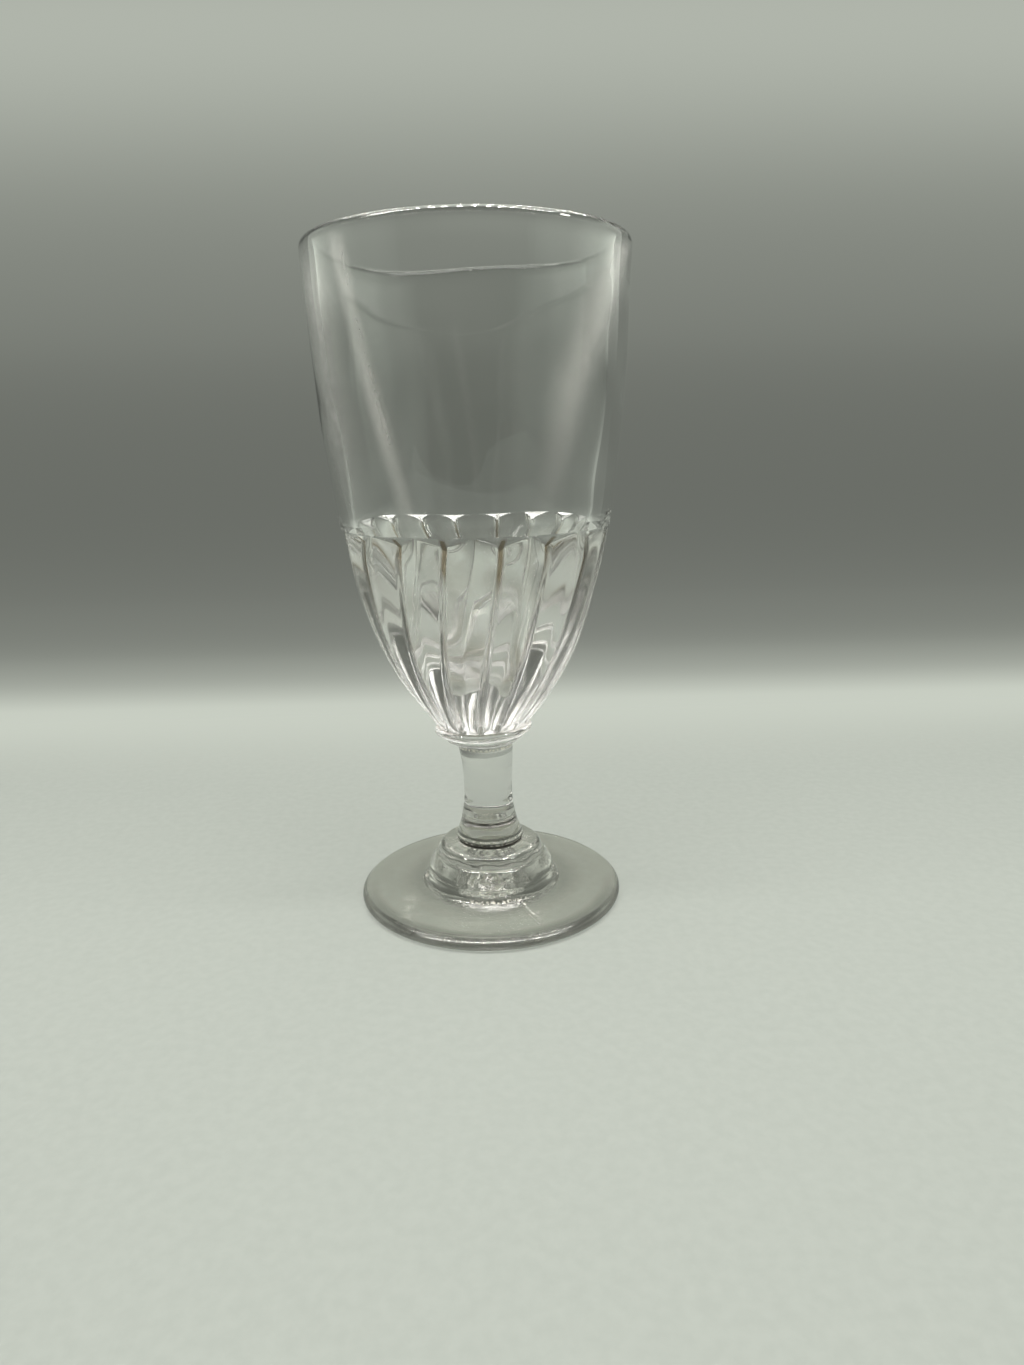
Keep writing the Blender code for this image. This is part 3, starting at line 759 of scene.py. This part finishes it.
def sweep_material():
    """Pale matt card: lit as a floor round the glass; behind it the card itself glows, with painted light that fades
    upwards as the light falls off.
    """
    material = bpy.data.materials.new("sweep_card")
    tree, nodes, links = nodes_of(material)
    out = nodes.new("ShaderNodeOutputMaterial")
    shader = nodes.new("ShaderNodeBsdfDiffuse")
    place, split = position(nodes, links)
    grain = nodes.new("ShaderNodeTexNoise")
    grain.inputs["Scale"].default_value = 400.0
    grain.inputs["Detail"].default_value = 4.0
    links.new(place.outputs["Position"], grain.inputs["Vector"])
    shade = level_ramp(nodes, links, grain.outputs["Fac"], 0.3, 0.7, [(0.3, FLOOR_SHADE - 0.004), (0.7, FLOOR_SHADE + 0.004)], FLOOR_TINT)
    links.new(shade, shader.inputs["Color"])
    lit = nodes.new("ShaderNodeEmission")
    links.new(level_ramp(nodes, links, grain.outputs["Fac"], 0.3, 0.7, [(0.3, FLOOR_GLOW - 0.008), (0.7, FLOOR_GLOW + 0.008)]), lit.inputs["Color"])
    both = nodes.new("ShaderNodeAddShader")
    links.new(shader.outputs["BSDF"], both.inputs[0])
    links.new(lit.outputs["Emission"], both.inputs[1])
    glow = nodes.new("ShaderNodeEmission")
    along = nodes.new("ShaderNodeMath")
    along.operation = "ADD"
    links.new(split.outputs["Y"], along.inputs[0])
    links.new(split.outputs["Z"], along.inputs[1])
    stops = [(BACK + at, level) for at, level in BACK_STOPS]
    links.new(level_ramp(nodes, links, along.outputs["Value"], BACK - 0.2, BACK + 0.46, stops), glow.inputs["Color"])
    part = nodes.new("ShaderNodeMapRange")
    part.interpolation_type = "SMOOTHSTEP"
    part.inputs["From Min"].default_value = 0.07
    part.inputs["From Max"].default_value = 0.17
    links.new(split.outputs["Y"], part.inputs["Value"])
    mix = nodes.new("ShaderNodeMixShader")
    links.new(part.outputs["Result"], mix.inputs["Fac"])
    links.new(both.outputs["Shader"], mix.inputs[1])
    links.new(glow.outputs["Emission"], mix.inputs[2])
    links.new(mix.outputs["Shader"], out.inputs["Surface"])
    return material


def make_sweep():
    line = [(FRONT, FLOOR)]
    for i in range(17):
        a = math.pi / 2 * i / 16
        line.append((BACK - SWEEP + SWEEP * math.sin(a), FLOOR + SWEEP * (1 - math.cos(a))))
    line.append((BACK, TOP))
    verts = [(x, y, z) for y, z in line for x in (-W, W)]
    faces = [(2 * i, 2 * i + 1, 2 * i + 3, 2 * i + 2) for i in range(len(line) - 1)]
    staged("sweep", verts, faces, sweep_material(), smooth=True)


make_sweep()
SIDE_STOPS = [(0.0, 0.42), (0.04, 0.28), (0.09, 0.18), (0.14, 0.2), (0.2, 0.85), (0.26, 0.95), (0.32, 0.35), (0.4, 0.06), (TOP, 0.05)]
SIDE_FADE = [(FRONT, 0.15), (-0.22, 0.45), (-0.14, 0.5), (-0.08, 0.6), (-0.02, 0.95), (BACK, 1.0)]
TOP_STOPS = [(FRONT, 0.01), (-0.17, 0.02), (-0.15, 1.0), (-0.03, 1.0), (0.0, 0.4), (0.07, 0.35), (0.08, 1.0), (0.1, 1.0), (0.115, 0.05), (0.17, 0.05), (0.2, 0.3), (BACK, 0.3)]
TOP_LEVEL = 3.6
FRONT_STOPS = [(0.0, 0.06), (0.15, 0.035), (0.3, 0.04), (TOP, 0.08)]
SIDE_LEVEL = (1.0, 1.25)
for side, x, level in (("left", -W, SIDE_LEVEL[0]), ("right", W, SIDE_LEVEL[1])):
    sheet(
        f"{side}_card",
        [(x, FRONT, FLOOR), (x, BACK, FLOOR), (x, BACK, TOP), (x, FRONT, TOP)],
        emitter(f"{side}_card", "Z", 0.0, TOP, SIDE_STOPS, CARD_TINT, level, fade=("Y", FRONT, BACK, SIDE_FADE)),
    )
sheet(
    "top_card",
    [(-W, FRONT, TOP), (W, FRONT, TOP), (W, BACK, TOP), (-W, BACK, TOP)],
    emitter("top_card", "Y", FRONT, BACK, TOP_STOPS, WARM, TOP_LEVEL),
)
sheet(
    "front_card",
    [(-W, FRONT, FLOOR), (W, FRONT, FLOOR), (W, FRONT, TOP), (-W, FRONT, TOP)],
    emitter("front_card", "Z", 0.0, TOP, FRONT_STOPS, (1.0, 0.85, 0.7)),
)

LAMP_HALF = 0.0035
LAMP_LONG = 0.012
LAMP_PITCH = 0.019
LAMP_COUNT = 28
LAMP_LEVEL = 110.0
LAMPS = ((-0.085, 0.30, LAMP_LEVEL), (0.12, 0.43, 0.6 * LAMP_LEVEL))


def lamp_row(name, y, z, level):
    """A strip of small square lamps across the tent."""
    material = bpy.data.materials.new(name)
    tree, nodes, links = nodes_of(material)
    out = nodes.new("ShaderNodeOutputMaterial")
    glow = nodes.new("ShaderNodeEmission")
    glow.inputs["Color"].default_value = (*WARM, 1.0)
    glow.inputs["Strength"].default_value = level
    links.new(glow.outputs["Emission"], out.inputs["Surface"])
    verts, faces = [], []
    for i in range(LAMP_COUNT):
        x, n = (i - 0.5 * (LAMP_COUNT - 1)) * LAMP_PITCH, len(verts)
        for dx, dy in ((-1, -1), (1, -1), (1, 1), (-1, 1)):
            verts.append((x + dx * LAMP_HALF, y + dy * LAMP_LONG, z))
        faces.append((n, n + 1, n + 2, n + 3))
    staged(name, verts, faces, material)
    bpy.data.objects[name].visible_camera = False  # only their glints in the glass are seen


for i, (y, z, level) in enumerate(LAMPS):
    lamp_row(f"lamp_row_{i}", y, z, level)

world = bpy.data.worlds.new("tent_air")
world.use_nodes = True
world.node_tree.nodes["Background"].inputs["Color"].default_value = (0.3, 0.31, 0.3, 1.0)
world.node_tree.nodes["Background"].inputs["Strength"].default_value = 0.4
bpy.context.scene.world = world

# ---------------------------------------------------------------- camera: close, wide, below the rim and looking down
FOCAL_PX, IMAGE_H = 946.0, 1365.0
EYE = Vector((0.0, -0.23377, 0.11769))
PITCH, YAW, ROLL = math.radians(14.605), math.radians(1.588), math.radians(-1.0)
look = Vector((math.sin(YAW) * math.cos(PITCH), math.cos(YAW) * math.cos(PITCH), -math.sin(PITCH)))
right = look.cross(Vector((0, 0, 1))).normalized()
up = right.cross(look)
right2 = math.cos(ROLL) * right + math.sin(ROLL) * up
up2 = -math.sin(ROLL) * right + math.cos(ROLL) * up
data = bpy.data.cameras.new("camera")
data.sensor_fit = "VERTICAL"
data.sensor_height = 36.0
data.lens = FOCAL_PX * 36.0 / IMAGE_H
data.clip_start = 0.005
camera = bpy.data.objects.new("camera", data)
camera.matrix_world = Matrix(
    (
        (right2.x, up2.x, -look.x, EYE.x),
        (right2.y, up2.y, -look.y, EYE.y),
        (right2.z, up2.z, -look.z, EYE.z),
        (0, 0, 0, 1),
    )
)
bpy.context.scene.collection.objects.link(camera)
bpy.context.scene.camera = camera

scene = bpy.context.scene
scene.view_settings.view_transform = "Standard"
scene.cycles.max_bounces = 32
scene.cycles.transmission_bounces = 32
scene.cycles.glossy_bounces = 16
scene.cycles.transparent_max_bounces = 32
scene.cycles.sample_clamp_indirect = 12.0
